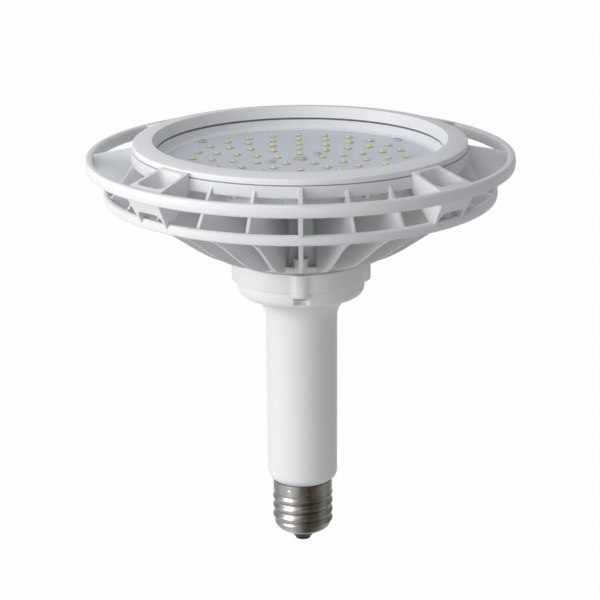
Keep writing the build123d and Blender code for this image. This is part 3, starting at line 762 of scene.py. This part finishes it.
def build_reflector(material, turns):
    """Pale wall from the board up round the cover's rim."""
    seat_r = COVER_RIM_R + COVER_PLAY
    ledge_r = COVER_R + COVER_PLAY
    ledge_z = COVER_TOP_Z - COVER_RIM_T - COVER_CLEARANCE
    wall_z = COVER_LOW_Z - COVER_CLEARANCE
    profile = rounded([(BOARD_EDGE_R, SEAT_Z), (BEZEL_STEP_R, SEAT_Z), (BEZEL_STEP_R, COVER_TOP_Z),
                       (seat_r, COVER_TOP_Z), (seat_r, ledge_z), (ledge_r, ledge_z), (ledge_r, wall_z),
                       (WALL_FOOT_R, BOARD_TOP_Z + WALL_FOOT_H), (REFLECTOR_BORE_R, BOARD_TOP_Z + WALL_LIP_H),
                       (REFLECTOR_BORE_R, BOARD_TOP_Z), (BOARD_EDGE_R, BOARD_TOP_Z)],
                      {7: WALL_FOOT_BLEND}, WALL_FOOT_STEPS)
    return add_piece("reflector_wall", *turned_mesh(profile, turns), material, "reflector_ring")


# Dress the solids

def dress(material, *names):
    for name in names:
        mesh = NODES[name].data
        mesh.materials.clear()
        mesh.materials.append(material)


def dress_solids():
    dress(cast_paint("cast_paint", 0.765, 0.0011, 0.16), "heat_sink")
    bezel = cast_paint("bezel_paint", 0.80, 0.0004, 0.04)
    stem = moulded_plastic("stem_plastic", 0.81, 0.0005)
    collar = moulded_plastic("collar_plastic", 0.79, 0.0005)
    dress(bezel, "bezel_ring")
    dress(stem, "driver_housing")
    dress(collar, "mounting_collar")
    build_housing(stem)
    build_collar(collar)
    dress(plain("contact_metal", (0.03, 0.03, 0.035), 0.5, specular=0.15), "centre_contact")
    dress(plain("black_glass", (0.012, 0.013, 0.018), 0.3, specular=0.15), "cap_insulator")
    steel = plain("screw_steel", (0.20, 0.17, 0.13), 0.3, 1.0)
    dress(steel, "housing_screws")
    dress(plain("zinc_steel", (0.50, 0.49, 0.46), 0.3, 1.0), "bezel_screws")
    build_housing_screws(steel)
    dress(plain("board_screw_steel", (0.42, 0.44, 0.46), 0.4, 0.6), "board_screws")
    seal = plain("gasket_rubber", (0.20, 0.21, 0.23), 0.7)
    reflector = plain("reflector_white", (0.86, 0.875, 0.90), 0.6, spread=0.02)
    dress(seal, "cover_gasket", "housing_gasket")
    dress(reflector, "reflector_ring")
    cover = clear_cover()
    dress(cover, "cover_lens")
    window_turns = even_turns(WINDOW_TURNS)
    build_bezel(bezel, window_turns)
    build_cover_seal(seal, window_turns)
    build_cover(cover, window_turns)
    build_reflector(reflector, window_turns)
    dress(plain("board_mask", (0.66, 0.69, 0.76), 0.45, spread=0.02, scale=60, grain=0.02), "led_board")
    dress(plain("heat_pad", (0.45, 0.46, 0.48), 0.8), "thermal_pad")
    dress(plain("driver_card", (0.05, 0.22, 0.10), 0.45), "driver_board")
    dress(plain("black_case", (0.03, 0.03, 0.035), 0.4), "bridge_rectifier", "switch_transistor", "live_lead")
    dress(plain("can_sleeve", (0.04, 0.04, 0.06), 0.3), "bulk_capacitor", "output_capacitor")
    dress(plain("film_case", (0.70, 0.50, 0.06), 0.35), "film_capacitor", "transformer_winding")
    dress(plain("blue_coat", (0.03, 0.10, 0.40), 0.3), "varistor")
    dress(plain("brown_sleeve", (0.28, 0.14, 0.07), 0.4), "fuse")
    dress(plain("copper_wire", (0.55, 0.22, 0.08), 0.35, 0.8), "filter_choke")
    dress(plain("ferrite", (0.06, 0.06, 0.065), 0.55), "transformer_core")
    dress(plain("folded_aluminium", (0.70, 0.71, 0.73), 0.35, 1.0), "transistor_sink")
    dress(plain("white_jacket", (0.75, 0.75, 0.75), 0.5), "neutral_lead")
    dress(plain("red_jacket", (0.50, 0.04, 0.03), 0.5), "output_leads")


# Stage

def seen_rays(nodes, links):
    """One for the rays that show the backdrop: straight to the camera, mirrored or through glass."""
    rays = nodes.new("ShaderNodeLightPath")
    total = rays.outputs["Is Camera Ray"]
    for name in ("Is Glossy Ray", "Is Transmission Ray"):
        add = nodes.new("ShaderNodeMath")
        add.operation = "ADD"
        add.use_clamp = True
        links.new(total, add.inputs[0])
        links.new(rays.outputs[name], add.inputs[1])
        total = add.outputs[0]
    return total


def floor_material():
    """Pale floor that shows white to the camera, with the lamp's faint shadow."""
    material = bpy.data.materials.new("floor")
    material.use_nodes = True
    nodes, links = material.node_tree.nodes, material.node_tree.links
    shader = nodes["Principled BSDF"]
    shader.inputs["Roughness"].default_value = 0.9
    tone = ramp(nodes, links, noise(nodes, links, 3, 2), [(0.3, grey(0.62)), (0.7, grey(0.64))])
    links.new(tone, shader.inputs["Base Color"])
    glow = nodes.new("ShaderNodeEmission")
    glow.inputs["Strength"].default_value = 1.0
    mix = nodes.new("ShaderNodeMixShader")
    links.new(map_range(nodes, links, seen_rays(nodes, links), 0, 1, 0, FLOOR_WHITE), mix.inputs["Fac"])
    links.new(shader.outputs["BSDF"], mix.inputs[1])
    links.new(glow.outputs["Emission"], mix.inputs[2])
    links.new(mix.outputs["Shader"], nodes["Material Output"].inputs["Surface"])
    return material


def build_floor():
    mesh = bpy.data.meshes.new("floor")
    corners = ((-1, -1), (1, -1), (1, 1), (-1, 1))
    mesh.from_pydata([(x * FLOOR_HALF, y * FLOOR_HALF, FLOOR_Z) for x, y in corners], [], [(0, 1, 2, 3)])
    floor = bpy.data.objects.new("floor", mesh)
    bpy.context.scene.collection.objects.link(floor)
    mesh.materials.append(floor_material())


def area_light(name, place, width, height, power):
    """A rectangular light that faces the lamp."""
    data = bpy.data.lights.new(name, "AREA")
    data.shape = "RECTANGLE"
    data.size, data.size_y = width, height
    data.energy = power
    lamp = bpy.data.objects.new(name, data)
    bpy.context.scene.collection.objects.link(lamp)
    lamp.location = place
    lamp.rotation_mode = "QUATERNION"
    lamp.rotation_quaternion = (LIGHT_AIM - Vector(place)).to_track_quat("-Z", "Y")


def build_lights():
    """Three soft lights under a pale sky, which shows white to the camera."""
    for light in LIGHTS:
        area_light(*light)
    world = bpy.data.worlds.new("studio")
    world.use_nodes = True
    bpy.context.scene.world = world
    nodes, links = world.node_tree.nodes, world.node_tree.links
    soft = nodes["Background"]
    soft.inputs["Color"].default_value = (*SKY_COLOUR, 1)
    soft.inputs["Strength"].default_value = SKY_STRENGTH
    white = nodes.new("ShaderNodeBackground")
    white.inputs["Strength"].default_value = 1.0
    mix = nodes.new("ShaderNodeMixShader")
    links.new(seen_rays(nodes, links), mix.inputs["Fac"])
    links.new(soft.outputs["Background"], mix.inputs[1])
    links.new(white.outputs["Background"], mix.inputs[2])
    links.new(mix.outputs["Shader"], nodes["World Output"].inputs["Surface"])


def build_camera():
    data = bpy.data.cameras.new("camera")
    data.sensor_width = SENSOR_MM
    data.lens = FOCAL_PX / IMAGE_PX * SENSOR_MM
    data.shift_x = -OFFSET_PX / IMAGE_PX
    camera = bpy.data.objects.new("camera", data)
    bpy.context.scene.collection.objects.link(camera)
    back = Vector((0, -math.cos(ELEVATION), math.sin(ELEVATION)))
    camera.location = TARGET + back * DISTANCE
    camera.rotation_mode = "QUATERNION"
    camera.rotation_quaternion = (-back).to_track_quat("-Z", "Y") @ Quaternion((0, 0, 1), ROLL)
    bpy.context.scene.camera = camera


build_camera()
build_lights()
build_floor()
dress_solids()
build_cap()
build_chips()
build_seal()
bpy.context.scene.view_settings.view_transform = "Standard"
